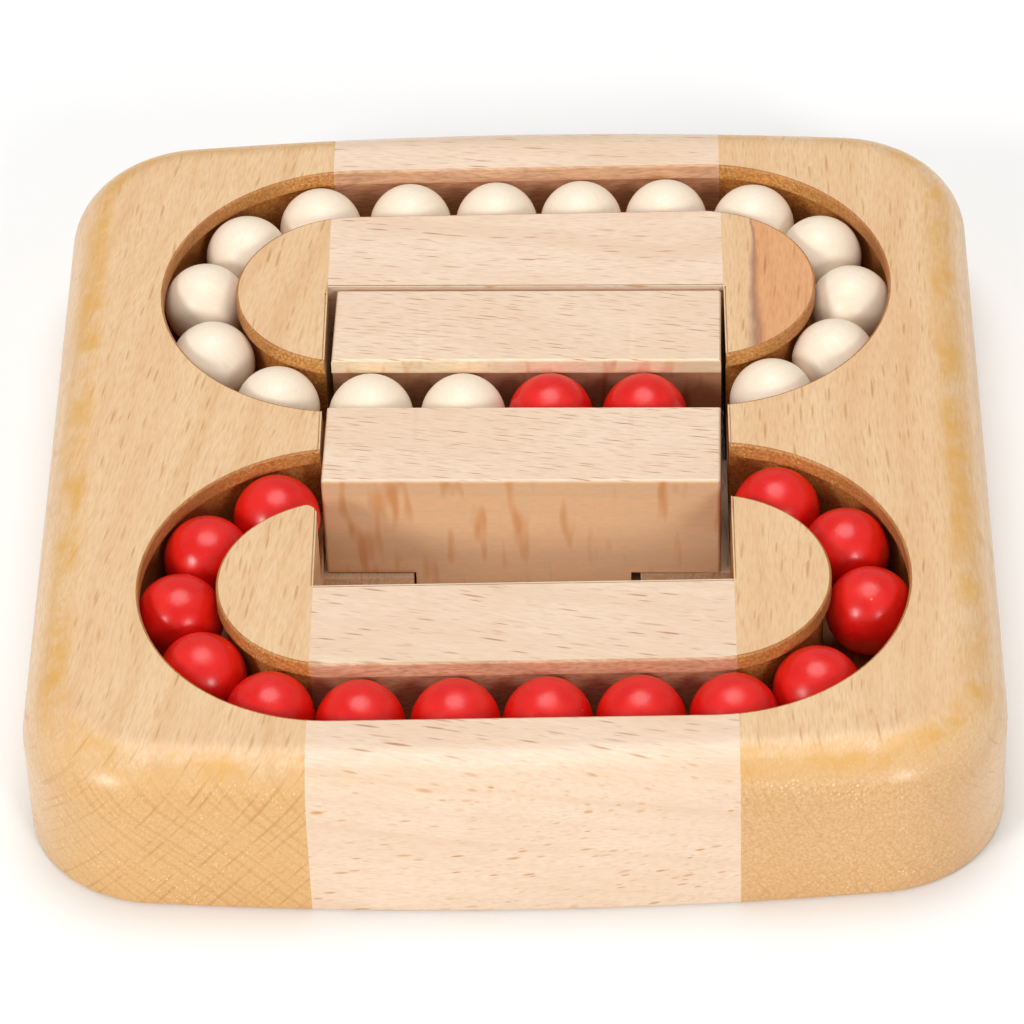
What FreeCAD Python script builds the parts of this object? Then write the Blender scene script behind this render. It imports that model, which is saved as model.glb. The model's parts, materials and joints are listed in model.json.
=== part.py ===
import FreeCAD, Part
import math
import os

# A hand-held wooden puzzle. Two racetrack-shaped grooves full of balls lie one
# behind the other. A block with a ball channel across it slides front to back
# between them, so that its channel closes the far loop or the near one.
#
# Millimetres. The origin is the middle of the board's outline, on its underside.
# +Y points to the far loop, where the slider is at rest, and +Z is up.

V = FreeCAD.Vector

# Board
BOARD_WIDTH = 130.6
BOARD_LENGTH = 142.0
BOARD_HEIGHT = 23.4
CORNER_RADIUS = 18.5
END_ARC_RADIUS = 538.0      # the front and back edges are shallow arcs
TOP_ROUNDING = 8.0
BOTTOM_ROUNDING = 0.8
EDGE_BEVEL = 0.3            # on the edges of the grooves and of the opening

# Playfield: the loops and the opening sit slightly off the board's middle
PLAY_X = 1.3
PLAY_Y = -0.3
OPENING_WIDTH = 56.5        # also the distance between the two glue seams
OPENING_NEAR = 31.9         # from the playfield's middle to the near board
OPENING_FAR = 30.7          # and to the middle of the far board's face
ASKEW = 1.4                 # degrees that this face, and the slider along it, are out of square

# Loops: two straight runs joined by two half circles, given at the balls' centre line
LOOP_Y = 31.0               # each loop's middle, from the playfield's middle
ARC_X = 24.9                # the half circles' centres, from the playfield's middle
TRACK_RADIUS = 21.7

# Balls and the undercut groove that holds them
BALL_DIAMETER = 12.0
BALL_FLOOR_GAP = 0.2
SLOT_WIDTH = 10.4           # the mouth, narrower than a ball
CHANNEL_SLOT_WIDTH = 10.0
TRACK_WIDTH = 12.6          # below the lips
LIP_THICKNESS = 2.3

# Slider
SLIDER_WIDTH = 54.9
SLIDER_LENGTH = 41.4
SLIDER_HEIGHT = 16.9
TONGUE_WIDTH = 29.9
SLIDER_EDGE = 0.5

# Ledges, let into the planks, and the keeper that hooks under them
LEDGE_LENGTH = 23.8
LEDGE_HOUSING = 3.0         # depth of the pocket in the plank
LEDGE_THICKNESS = 3.2
SIDE_CLEARANCE = 0.8        # tongue to ledge, less where the slider stands askew
SLIDE_CLEARANCE = 0.2       # slider to ledge
KEEPER_WIDTH = 46.0
KEEPER_THICKNESS = 2.3
KEEPER_LIFT = 0.5           # above the surface that the board stands on
KEEPER_GAP = 0.3            # keeper to ledge, and keeper to board at each end of the travel

# Screws through the keeper into the tongue
SCREW_X = 9.0
SCREW_Y = 14.0
SCREW_RADIUS = 1.4
SCREW_HEAD_RADIUS = 2.6
SCREW_HEAD_HEIGHT = 1.3
SCREW_LENGTH = 9.5
SCREW_FIT = 0.05
RECESS_WIDTH = 0.6
RECESS_SPAN = 2.8
RECESS_DEPTH = 0.8

# Places of the balls along a loop, clockwise in the far loop and mirrored in the near one.
# 0 is where the outer straight run starts, on the left.
FAR_START = 178.3
FAR_SPACINGS = [14.2, 13.4, 12.35, 12.35, 13.2, 12.6, 12.4, 12.4, 12.9, 12.35, 12.35, 12.35, 12.6]
NEAR_START = 177.4
NEAR_SPACINGS = [12.5, 12.35, 12.35, 12.35, 12.3, 12.6, 12.2, 12.3, 12.3, 12.35, 17.7, 12.4, 12.8]
CHANNEL_BALLS = [-21.8, -8.8, 3.5, 16.7]
CHANNEL_CREAM = 2           # the first of them are cream, the others red

# Worked out
TRACK_FLOOR = BOARD_HEIGHT - BALL_DIAMETER - BALL_FLOOR_GAP
BALL_Z = BOARD_HEIGHT - BALL_DIAMETER / 2
CHANNEL_Y = LOOP_Y - TRACK_RADIUS
SLIDER_TRAVEL = 2 * CHANNEL_Y
SLIDER_BOTTOM = BOARD_HEIGHT - SLIDER_HEIGHT
LEDGE_TOP = SLIDER_BOTTOM - SLIDE_CLEARANCE
LEDGE_BOTTOM = LEDGE_TOP - LEDGE_THICKNESS
KEEPER_TOP = LEDGE_BOTTOM - KEEPER_GAP
KEEPER_BOTTOM = KEEPER_TOP - KEEPER_THICKNESS
KEEPER_CORNER = KEEPER_WIDTH / 2 * math.sin(math.radians(ASKEW))
KEEPER_FAR = OPENING_FAR - KEEPER_GAP
KEEPER_NEAR = SLIDER_TRAVEL - OPENING_NEAR + KEEPER_CORNER + KEEPER_GAP
STRAIGHT = 2 * ARC_X
HALF_TURN = math.pi * TRACK_RADIUS
LOOP_LENGTH = 2 * (STRAIGHT + HALF_TURN)


def box(x_low, x_high, y_low, y_high, z_low, z_high):
    """A box between two corners, in the playfield's own x and y."""
    size = (x_high - x_low, y_high - y_low, z_high - z_low)
    return Part.makeBox(*size, V(PLAY_X + x_low, PLAY_Y + y_low, z_low))


def askew(shape):
    """The shape turned clockwise, seen from above, about the slider's middle."""
    return shape.rotated(V(PLAY_X, PLAY_Y + CHANNEL_Y, 0), V(0, 0, 1), -ASKEW)


def outline():
    """The board's outline: straight sides, round corners and crowned ends."""
    half_width = BOARD_WIDTH / 2
    half_length = BOARD_LENGTH / 2
    corner_x = half_width - CORNER_RADIUS
    end_centre_y = half_length - END_ARC_RADIUS
    reach = END_ARC_RADIUS - CORNER_RADIUS
    corner_y = end_centre_y + math.sqrt(reach ** 2 - corner_x ** 2)
    to_corner = V(corner_x, corner_y - end_centre_y, 0) / reach
    meet = V(0, end_centre_y, 0) + to_corner * END_ARC_RADIUS
    halfway = (to_corner + V(1, 0, 0)).normalize() * CORNER_RADIUS
    corner_middle = V(corner_x, corner_y, 0) + halfway

    def placed(point, x_sign, y_sign):
        return V(point.x * x_sign, point.y * y_sign, 0)

    def corner(x_sign, y_sign):
        points = [meet, corner_middle, V(half_width, corner_y, 0)]
        return Part.Arc(*[placed(point, x_sign, y_sign) for point in points]).toShape()

    def end(y_sign):
        points = [placed(meet, -1, y_sign), V(0, half_length * y_sign, 0), placed(meet, 1, y_sign)]
        return Part.Arc(*points).toShape()

    def side(x_sign):
        return Part.makeLine(V(half_width * x_sign, corner_y, 0), V(half_width * x_sign, -corner_y, 0))

    edges = [end(1), end(-1), side(1), side(-1)]
    edges += [corner(x_sign, y_sign) for x_sign in (1, -1) for y_sign in (1, -1)]
    return Part.Wire(Part.__sortEdges__(edges))


def board_blank():
    """The glued-up board before its grooves: rounded over on top, eased below."""
    blank = Part.Face(outline()).extrude(V(0, 0, BOARD_HEIGHT))
    blank = blank.makeFillet(TOP_ROUNDING, rim_edges(blank, BOARD_HEIGHT))
    return blank.makeFillet(BOTTOM_ROUNDING, rim_edges(blank, 0))


def rim_edges(shape, z):
    """The edges of a shape that lie flat at height z."""
    return [e for e in shape.Edges if abs(e.BoundBox.ZMin - z) < 0.01 and abs(e.BoundBox.ZMax - z) < 0.01]


def track_section(slot_width):
    """Half-widths and heights of the groove: bevelled mouth, lips and undercut."""
    mouth = slot_width / 2
    wide = TRACK_WIDTH / 2
    lip_z = BOARD_HEIGHT - LIP_THICKNESS
    right = [
        (wide, TRACK_FLOOR),
        (wide, lip_z),
        (mouth, lip_z),
        (mouth, BOARD_HEIGHT - EDGE_BEVEL),
        (mouth + EDGE_BEVEL, BOARD_HEIGHT),
        (mouth + EDGE_BEVEL, BOARD_HEIGHT + 1),
    ]
    left = [(-half, z) for half, z in reversed(right)]
    return right + left


def section_face(slot_width, x, y):
    """The groove's section as a face that stands across the y direction at x, y."""
    points = [V(x, y + across, z) for across, z in track_section(slot_width)]
    return Part.Face(Part.makePolygon(points + points[:1]))


def loop_cutter(y_sign):
    """What the router takes out for one loop: its outer straight run and both half circles."""
    centre_y = PLAY_Y + y_sign * LOOP_Y
    run_y = centre_y + y_sign * TRACK_RADIUS
    left_x = PLAY_X - ARC_X
    right_x = PLAY_X + ARC_X
    start = section_face(SLOT_WIDTH, left_x, run_y)
    finish = section_face(SLOT_WIDTH, right_x, run_y)
    run = start.extrude(V(STRAIGHT, 0, 0))
    left_arc = start.revolve(V(left_x, centre_y, 0), V(0, 0, 1), 180 * y_sign)
    right_arc = finish.revolve(V(right_x, centre_y, 0), V(0, 0, 1), -180 * y_sign)
    return run.fuse([left_arc, right_arc]).removeSplitter()


def opening_cutter():
    """The opening for the slider, its far side out of square, bevelled round its upper edge."""
    slope = math.tan(math.radians(ASKEW))

    def ring(grow, z):
        half_x = OPENING_WIDTH / 2 + grow
        near_y = -OPENING_NEAR - grow
        far_y = OPENING_FAR + grow
        corners = [(-half_x, near_y), (half_x, near_y), (half_x, far_y - half_x * slope)]
        corners += [(-half_x, far_y + half_x * slope), (-half_x, near_y)]
        return Part.makePolygon([V(PLAY_X + x, PLAY_Y + y, z) for x, y in corners])

    hole = Part.Face(ring(0, -1)).extrude(V(0, 0, BOARD_HEIGHT + 2))
    flare = Part.makeLoft([ring(0, BOARD_HEIGHT - EDGE_BEVEL), ring(EDGE_BEVEL, BOARD_HEIGHT)], True)
    return hole.fuse(flare)


def routed_board():
    """The whole board with both grooves and the opening cut, before it is parted at the seams."""
    cutters = [loop_cutter(1), loop_cutter(-1), opening_cutter()]
    return board_blank().cut(cutters)


def ledge(x_sign):
    """A strip glued into a pocket in a plank, which the slider rests on."""
    inner = TONGUE_WIDTH / 2 + SIDE_CLEARANCE
    outer = OPENING_WIDTH / 2 + LEDGE_HOUSING
    x_low, x_high = sorted((x_sign * inner, x_sign * outer))
    half = LEDGE_LENGTH / 2
    return box(x_low, x_high, -half, half, LEDGE_BOTTOM, LEDGE_TOP)


def plank(board, x_sign):
    """A side plank, from its seam outwards, with the half-round island ends left standing."""
    seam = OPENING_WIDTH / 2
    x_low, x_high = sorted((x_sign * seam, x_sign * BOARD_WIDTH))
    half = BOARD_LENGTH
    stock = box(x_low, x_high, -half, half, -1, BOARD_HEIGHT + 1)
    return board.common(stock).cut(ledge(x_sign))


def centre_board(board, y_sign):
    """The cross-grained board between the seams: a rail, the track's straight run and a bar."""
    seam = OPENING_WIDTH / 2
    y_low, y_high = sorted((0, y_sign * BOARD_LENGTH))
    return board.common(box(-seam, seam, y_low, y_high, -1, BOARD_HEIGHT + 1))


def slider_block():
    """The sliding block: a channel across it, and a tongue that runs between the ledges."""
    half_x = SLIDER_WIDTH / 2
    y_low = CHANNEL_Y - SLIDER_LENGTH / 2
    y_high = CHANNEL_Y + SLIDER_LENGTH / 2
    block = box(-half_x, half_x, y_low, y_high, SLIDER_BOTTOM, BOARD_HEIGHT)
    start = section_face(CHANNEL_SLOT_WIDTH, PLAY_X - half_x - 1, PLAY_Y + CHANNEL_Y)
    channel = start.extrude(V(SLIDER_WIDTH + 2, 0, 0))
    uprights = [e for e in block.Edges if e.BoundBox.ZLength > 1]
    block = block.makeFillet(SLIDER_EDGE, uprights + rim_edges(block, BOARD_HEIGHT))
    half_tongue = TONGUE_WIDTH / 2
    tongue = box(-half_tongue, half_tongue, y_low, y_high, KEEPER_TOP, SLIDER_BOTTOM)
    return askew(block.cut(channel).fuse(tongue).removeSplitter().cut(screws(SCREW_FIT)))


def screw(x, y, fit):
    """One countersunk wood screw, head down, and larger by fit all round for its hole."""
    base = V(x, y, KEEPER_BOTTOM)
    up = V(0, 0, 1)
    head = Part.makeCone(SCREW_HEAD_RADIUS + fit, SCREW_RADIUS + fit, SCREW_HEAD_HEIGHT, base, up)
    shank = Part.makeCylinder(SCREW_RADIUS + fit, SCREW_LENGTH + fit, base, up)
    return head.fuse(shank).removeSplitter()


def cross_recess(x, y):
    """The driver's cross in a screw head."""
    half_span = RECESS_SPAN / 2
    half_width = RECESS_WIDTH / 2
    corner = V(x, y, KEEPER_BOTTOM)
    along = Part.makeBox(RECESS_SPAN, RECESS_WIDTH, RECESS_DEPTH, corner - V(half_span, half_width, 0))
    across = Part.makeBox(RECESS_WIDTH, RECESS_SPAN, RECESS_DEPTH, corner - V(half_width, half_span, 0))
    return along.fuse(across)


def screw_places():
    """The four screw positions, in the row's x and y, before the slider is turned askew."""
    return [(PLAY_X + sx * SCREW_X, PLAY_Y + CHANNEL_Y + sy * SCREW_Y) for sx in (-1, 1) for sy in (-1, 1)]


def screws(fit):
    """All four screws, or with some fit, the holes that they go in."""
    return Part.makeCompound([screw(x, y, fit) for x, y in screw_places()])


def keeper_screws():
    """The four screws with their driver recesses."""
    made = [screw(x, y, 0).cut(cross_recess(x, y)) for x, y in screw_places()]
    return askew(Part.makeCompound(made))


def keeper_plate():
    """The plate under the tongue, wider than the gap between the ledges."""
    half_x = KEEPER_WIDTH / 2
    plate = box(-half_x, half_x, KEEPER_NEAR, KEEPER_FAR, KEEPER_BOTTOM, KEEPER_TOP)
    return askew(plate.cut(screws(SCREW_FIT)))


def loop_places(start, spacings):
    """Distances along a loop, each one spacing further than the last."""
    places = [start]
    for spacing in spacings:
        places.append(places[-1] + spacing)
    return [place % LOOP_LENGTH for place in places]


def loop_point(place, y_sign):
    """A point on a loop's centre line, in the row's x and y. Only its outer run and arcs hold balls."""
    if place < STRAIGHT:
        x = place - ARC_X
        out = TRACK_RADIUS
    elif place < STRAIGHT + HALF_TURN:
        turn = (place - STRAIGHT) / TRACK_RADIUS
        x = ARC_X + TRACK_RADIUS * math.sin(turn)
        out = TRACK_RADIUS * math.cos(turn)
    else:
        turn = (LOOP_LENGTH - place) / TRACK_RADIUS
        x = -ARC_X - TRACK_RADIUS * math.sin(turn)
        out = TRACK_RADIUS * math.cos(turn)
    return PLAY_X + x, PLAY_Y + y_sign * (LOOP_Y + out)


def channel_point(along):
    """A point on the channel's centre line, in the row's x and y, with the slider askew at rest."""
    turn = math.radians(ASKEW)
    return PLAY_X + along * math.cos(turn), PLAY_Y + CHANNEL_Y - along * math.sin(turn)


def ball(x, y):
    """A turned wooden ball."""
    return Part.makeSphere(BALL_DIAMETER / 2, V(x, y, BALL_Z))


def ball_points():
    """Where the cream balls and the red balls lie: first those in a loop, then those in the channel."""
    cream = [loop_point(place, 1) for place in loop_places(FAR_START, FAR_SPACINGS)]
    red = [loop_point(place, -1) for place in loop_places(NEAR_START, NEAR_SPACINGS)]
    channel = [channel_point(along) for along in CHANNEL_BALLS]
    return cream + channel[:CHANNEL_CREAM], red + channel[CHANNEL_CREAM:]


def nodes():
    """Every piece by name."""
    board = routed_board()
    made = {
        "left_plank": plank(board, -1),
        "right_plank": plank(board, 1),
        "far_centre_board": centre_board(board, 1),
        "near_centre_board": centre_board(board, -1),
        "left_ledge": ledge(-1),
        "right_ledge": ledge(1),
        "slider_block": slider_block(),
        "keeper_plate": keeper_plate(),
        "keeper_screws": keeper_screws(),
    }
    cream, red = ball_points()
    for colour, points in (("cream", cream), ("red", red)):
        for number, (x, y) in enumerate(points, 1):
            made[f"{colour}_ball_{number:02d}"] = ball(x, y)
    return made


def main():
    os.makedirs("parts", exist_ok=True)
    for name, shape in nodes().items():
        shape.exportStep(f"parts/{name}.step")
        volume = shape.Volume / 1000
        print(f"{name:20s} solids {len(shape.Solids)}  volume {volume:8.2f} cm3  valid {shape.isValid()}")


main()
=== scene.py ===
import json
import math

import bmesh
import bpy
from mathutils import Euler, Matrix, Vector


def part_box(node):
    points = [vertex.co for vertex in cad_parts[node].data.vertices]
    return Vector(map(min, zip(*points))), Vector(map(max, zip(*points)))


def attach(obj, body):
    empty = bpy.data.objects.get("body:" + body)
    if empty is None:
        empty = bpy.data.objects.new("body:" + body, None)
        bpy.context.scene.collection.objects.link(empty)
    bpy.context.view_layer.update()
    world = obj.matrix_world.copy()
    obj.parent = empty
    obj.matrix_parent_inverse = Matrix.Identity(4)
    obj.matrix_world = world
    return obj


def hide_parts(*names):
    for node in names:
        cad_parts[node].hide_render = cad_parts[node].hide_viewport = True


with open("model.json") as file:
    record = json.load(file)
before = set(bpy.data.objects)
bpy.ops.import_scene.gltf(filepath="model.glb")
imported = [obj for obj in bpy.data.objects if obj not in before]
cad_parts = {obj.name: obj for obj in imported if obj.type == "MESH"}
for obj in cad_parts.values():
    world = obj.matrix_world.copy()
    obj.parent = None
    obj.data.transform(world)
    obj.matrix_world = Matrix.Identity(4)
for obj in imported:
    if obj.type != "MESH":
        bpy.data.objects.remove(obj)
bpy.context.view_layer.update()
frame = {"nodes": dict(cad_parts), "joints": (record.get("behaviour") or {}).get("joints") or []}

# %% [markdown]
# This lesson builds a wooden ball puzzle that lies flat in two hands. Two grooves shaped
# like racetracks hold captive balls, cream in the far one and red in the near one. A block
# with a short channel across it slides between them, so its channel can close either loop.
# The board is glued up from two side planks with the grain front to back and two centre
# boards with the grain left to right, and its top edge has a large round-over.
# The loaded model already has every part at its real size and place, so the first step is
# to keep its box.

MM = 0.001

# %% [markdown]
# Sizes that the model knows are read from it and not typed again. The boards give the
# outline, the seams and the opening. The balls turn about the middle of each half circle,
# so their joints give the racetracks' centres, and a ball's distance from its joint is the
# radius of the groove's centre line.

# %% Sizes read from the model
board_low = Vector((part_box("left_plank")[0].x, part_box("near_centre_board")[0].y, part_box("left_plank")[0].z))
board_high = Vector((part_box("right_plank")[1].x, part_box("far_centre_board")[1].y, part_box("left_plank")[1].z))
TOP = board_high.z
seam_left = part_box("far_centre_board")[0].x
seam_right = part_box("far_centre_board")[1].x
bar_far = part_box("far_centre_board")[0].y
bar_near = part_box("near_centre_board")[1].y
ball_low, ball_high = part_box("cream_ball_01")
BALL_RADIUS = (ball_high.x - ball_low.x) / 2
joints = {joint["name"]: joint for joint in frame["joints"]}
channel_axis = joints["cream_ball_15_roll"]["axis"]
ASKEW = math.atan2(-channel_axis[1], channel_axis[0])
turn_centres = {joint["name"]: Vector(joint["pos_m"]) for joint in frame["joints"] if "pos_m" in joint}
far_left = turn_centres["cream_ball_01_roll"]
far_right = turn_centres["cream_ball_10_roll"]
near_left = turn_centres["red_ball_01_roll"]
near_right = turn_centres["red_ball_10_roll"]
TRACK_RADIUS = ((ball_low + ball_high) / 2 - far_left).length
print("slider askew by", round(math.degrees(ASKEW), 2), "degrees, clockwise from above")
print("seams at", round(seam_left / MM, 2), round(seam_right / MM, 2), "mm")
print("track radius", round(TRACK_RADIUS / MM, 2), "mm, ball radius", round(BALL_RADIUS / MM, 2), "mm")

# %% Sizes chosen by the maker
CORNER_RADIUS = 18.5 * MM
END_ARC_RADIUS = 538 * MM      # the front and back edges are shallow arcs
TOP_ROUNDING = 8 * MM
BOTTOM_ROUNDING = 0.8 * MM
MOUTH_EASING = 0.35 * MM       # sandpaper rounds the edges of the grooves
SLOT_WIDTH = 10.4 * MM         # narrower than a ball, so the balls stay in
CHANNEL_WIDTH = 10.0 * MM
TRACK_WIDTH = 12.6 * MM        # the groove is wider below its lips
LIP_THICKNESS = 2.3 * MM
track_floor = ball_low.z - 0.2 * MM

# %% [markdown]
# The camera looks down at the near edge from about 42 degrees, from far enough away that
# the sides run almost parallel. It is placed first, so that every test render already
# shows the finished view. Its place is worked out from the point that it looks at.

# %% The camera
LOOK_AT = Vector((-0.3, -18.0, 23.4)) * MM
CAMERA_DISTANCE = 736.6 * MM
camera_turn = Euler((math.radians(90 - 41.68), 0, math.radians(1.78)), "XYZ").to_matrix()
bpy.ops.object.select_all(action="DESELECT")
bpy.ops.object.camera_add(location=LOOK_AT + camera_turn @ Vector((0, 0, CAMERA_DISTANCE)))
camera = bpy.context.object
camera.name = "camera"
camera.rotation_euler = (camera_turn @ Matrix.Rotation(math.radians(-2.14), 3, "Z")).to_euler()
camera.data.sensor_width = 36
camera.data.lens = 190.2
bpy.context.scene.camera = camera
print("camera at", [round(value / MM, 1) for value in camera.location], "mm")

# %% [markdown]
# A maker draws an outline, cuts it out, and eases its edges, and the same tools are used
# here. A few helpers keep the steps short: one picks a single piece, and others draw a line
# from point to point, like a pen. The pen starts as a small plane merged to one vertex, then
# Extrude draws straight lines and Spin draws arcs. Spin turns clockwise for a positive angle.

# %% Helpers for picking and drawing
def only(piece):
    """Selects one piece and makes it the active one."""
    bpy.ops.object.select_all(action="DESELECT")
    piece.select_set(True)
    bpy.context.view_layer.objects.active = piece


def start_line(name, point):
    """A new piece that is one vertex, left in edit mode to be drawn on."""
    bpy.ops.object.select_all(action="DESELECT")
    bpy.ops.mesh.primitive_plane_add(size=MM, location=point)
    piece = bpy.context.object
    piece.name = name
    bpy.ops.object.transform_apply(location=True, rotation=True, scale=True)
    bpy.ops.object.mode_set(mode="EDIT")
    bpy.ops.mesh.select_mode(type="VERT")
    bpy.ops.mesh.select_all(action="SELECT")
    bpy.ops.mesh.merge(type="CENTER")
    return piece


def line_by(x, y, z):
    """Draws a straight line from the pen's place."""
    bpy.ops.mesh.extrude_region_move(TRANSFORM_OT_translate={"value": (x, y, z)})


def arc_by(centre, degrees, steps, axis=(0, 0, 1)):
    """Draws an arc, or sweeps what is selected along one."""
    bpy.ops.mesh.spin(steps=steps, angle=math.radians(degrees), center=centre, axis=axis)


def close_line():
    """Joins the ends of the line and fills it with one face, which stays selected."""
    bpy.ops.mesh.select_all(action="SELECT")
    bpy.ops.mesh.remove_doubles(threshold=0.01 * MM)
    bpy.ops.mesh.edge_face_add()


def finish_solid():
    """Turns the faces outwards and leaves edit mode."""
    bpy.ops.mesh.select_all(action="SELECT")
    bpy.ops.mesh.remove_doubles(threshold=0.001 * MM)
    bpy.ops.mesh.normals_make_consistent(inside=False)
    bpy.ops.object.mode_set(mode="OBJECT")


def select_edges(piece, wanted):
    """Selects the edges whose two ends both pass a test on their place."""
    bpy.ops.mesh.select_mode(type="EDGE")
    bpy.ops.mesh.select_all(action="DESELECT")
    mesh = bmesh.from_edit_mesh(piece.data)
    for edge in mesh.edges:
        edge.select_set(all(wanted(corner.co) for corner in edge.verts))
    bmesh.update_edit_mesh(piece.data)


def near(value, target, slack=0.02 * MM):
    """True where a measure is on target."""
    return abs(value - target) < slack

# %% [markdown]
# Boards are cut to each other with two tools. A Boolean modifier takes a cutter's shape out
# of a piece, and with its materials set to transfer, the cut faces keep the cutter's own
# material, so that the routed walls can look rougher and darker than the sanded top.
# Bisect saws straight through a piece and fills the cut.

# %% Helpers for cutting
def cut(piece, cutter):
    """Takes the cutter's shape out of a piece and throws the cutter away."""
    only(piece)
    bpy.ops.object.modifier_add(type="BOOLEAN")
    boolean = piece.modifiers[-1]
    boolean.operation = "DIFFERENCE"
    boolean.solver = "EXACT"
    boolean.material_mode = "TRANSFER"
    boolean.object = cutter
    bpy.ops.object.modifier_apply(modifier=boolean.name)
    bpy.data.objects.remove(cutter)


def saw(piece, point, away):
    """Saws through a piece at a point and drops the side that the direction points to."""
    only(piece)
    bpy.ops.object.mode_set(mode="EDIT")
    bpy.ops.mesh.select_all(action="SELECT")
    bpy.ops.mesh.bisect(plane_co=point, plane_no=away, use_fill=True, clear_outer=True)
    bpy.ops.object.mode_set(mode="OBJECT")


def block(name, low, high):
    """A sawn block between two corners, to be shaped further."""
    bpy.ops.object.select_all(action="DESELECT")
    bpy.ops.mesh.primitive_cube_add(size=1, location=(low + high) / 2, scale=high - low)
    piece = bpy.context.object
    piece.name = name
    bpy.ops.object.transform_apply(location=True, rotation=True, scale=True)
    return piece


def smooth(piece, degrees=32):
    """Shades the curves smooth and keeps the flat faces flat."""
    only(piece)
    bpy.ops.object.shade_smooth_by_angle(angle=math.radians(degrees))
    bpy.ops.object.modifier_add(type="WEIGHTED_NORMAL")
    piece.modifiers[-1].keep_sharp = True
    bpy.ops.object.modifier_apply(modifier=piece.modifiers[-1].name)
    print(piece.name, len(piece.data.polygons), "faces")

# %% [markdown]
# A finish starts with what the real one is. One function turns a hex colour into the linear
# numbers that the shader wants. One small function adds a node with its settings and links,
# and every material below is written with it.

# %% Helpers for materials
def colour(code):
    """A linear colour with alpha from an sRGB hex code such as #E8C9A0."""
    channels = [int(code[start:start + 2], 16) / 255 for start in (1, 3, 5)]
    linear = [c / 12.92 if c <= 0.04045 else ((c + 0.055) / 1.055) ** 2.4 for c in channels]
    return (*linear, 1)


def add(tree, kind, inputs=None, **settings):
    """Adds a node. An input is a number, a colour code, or an output of another node."""
    made = tree.nodes.new(kind)
    for name, value in settings.items():
        setattr(made, name, value)
    for key, value in (inputs or {}).items():
        if isinstance(value, bpy.types.NodeSocket):
            tree.links.new(value, made.inputs[key])
        else:
            made.inputs[key].default_value = colour(value) if isinstance(value, str) else value
    return made


def fresh(name):
    """A new material with an empty node tree."""
    material = bpy.data.materials.new(name)
    material.use_nodes = True
    material.node_tree.nodes.clear()
    return material, material.node_tree


# The Mix node keeps its colour sockets after those for numbers and vectors. The sockets of
# Map Range are 0 for the value, 1 and 2 for the range it comes from, and 3 and 4 for the range
# it goes to, which is 0 to 1 where they are left out.
FACTOR, COLOUR_A, COLOUR_B, MIXED = 0, 6, 7, 2

# %% [markdown]
# Beech is a pale, even hardwood. Its one strong mark is its rays: thin sheets of tissue that
# run from the middle of the trunk outwards. Where a board's face cuts them they show as
# short brown dashes along the grain, 2 to 5 mm long and 0.2 to 0.4 mm wide, and on the end
# grain they show as fine lines. So the pattern is built in three dimensions, with
# one axis along the grain, one along the rays and one across both, all in millimetres, and
# each board is then cut out of its own log by turning those axes.
# Each dash comes from one Voronoi cell. The vector from the cell's seed is scaled so that a
# flat lens has a length of 1, which gives a spindle with pointed ends.

# %% Rays
def ray_marks(tree, wood, spacing, size, share):
    """Lens-shaped rays, 1 in the middle and 0 outside. Spacing and size are along, across and outwards."""
    cells = add(tree, "ShaderNodeVectorMath", {0: wood, 1: spacing}, operation="DIVIDE").outputs[0]
    seed = add(tree, "ShaderNodeTexVoronoi", {"Vector": cells, "Scale": 1, "Randomness": 0.95})
    away = add(tree, "ShaderNodeVectorMath", {0: cells, 1: seed.outputs["Position"]}, operation="SUBTRACT")
    lens = [2 * gap / extent for gap, extent in zip(spacing, size)]
    scaled = add(tree, "ShaderNodeVectorMath", {0: away.outputs[0], 1: lens}, operation="MULTIPLY")
    reach = add(tree, "ShaderNodeVectorMath", {0: scaled.outputs[0]}, operation="LENGTH").outputs["Value"]
    chance = add(tree, "ShaderNodeSeparateColor", {0: seed.outputs["Color"]})
    longer = add(tree, "ShaderNodeMapRange", {0: chance.outputs[1], 3: 1.5, 4: 0.75}).outputs[0]
    reach = add(tree, "ShaderNodeMath", {0: reach, 1: longer}, operation="MULTIPLY").outputs[0]
    body = add(tree, "ShaderNodeMapRange", {0: reach, 1: 1.0, 2: 0.45, 3: 0, 4: 1}).outputs[0]
    present = add(tree, "ShaderNodeMapRange", {0: chance.outputs[0], 1: 1 - share, 2: 1}).outputs[0]
    shown = add(tree, "ShaderNodeMath", {0: present, 1: 0.45}, operation="POWER").outputs[0]
    return add(tree, "ShaderNodeMath", {0: body, 1: shown}, operation="MULTIPLY").outputs[0]

# %% [markdown]
# The rest of the wood is added in the order that an eye would notice it. Slow mottling
# comes first, then growth rings about 2.4 mm apart, then the fibres, which are drawn 0.3 mm
# wide because the real ones are too fine to show. Then come the rays: strong ones, and a
# finer and fainter set between them. Where a face runs along a ray instead of across it, the
# ray shows as a broad amber flake, so its colour depends on how the surface faces.

# %% The log's own axes
def log_axes(tree, seen, along, outwards, start, wander):
    """A place in millimetres along the grain, across it and outwards. Wander is how far the axes stray."""
    turn = Matrix((along, outwards.cross(along), outwards)).to_euler("XYZ")
    straight = add(
        tree,
        "ShaderNodeMapping",
        {"Vector": seen.outputs["Object"], "Location": start, "Rotation": turn, "Scale": (1000, 1000, 1000)},
    ).outputs[0]
    stray = add(tree, "ShaderNodeTexNoise", {"Vector": straight, "Scale": 1 / 40, "Detail": 1})
    return add(
        tree,
        "ShaderNodeVectorMath",
        {0: stray.outputs["Color"], 1: (0, wander, 1.5 * wander), 2: straight},
        operation="MULTIPLY_ADD",
    ).outputs[0]


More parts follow.
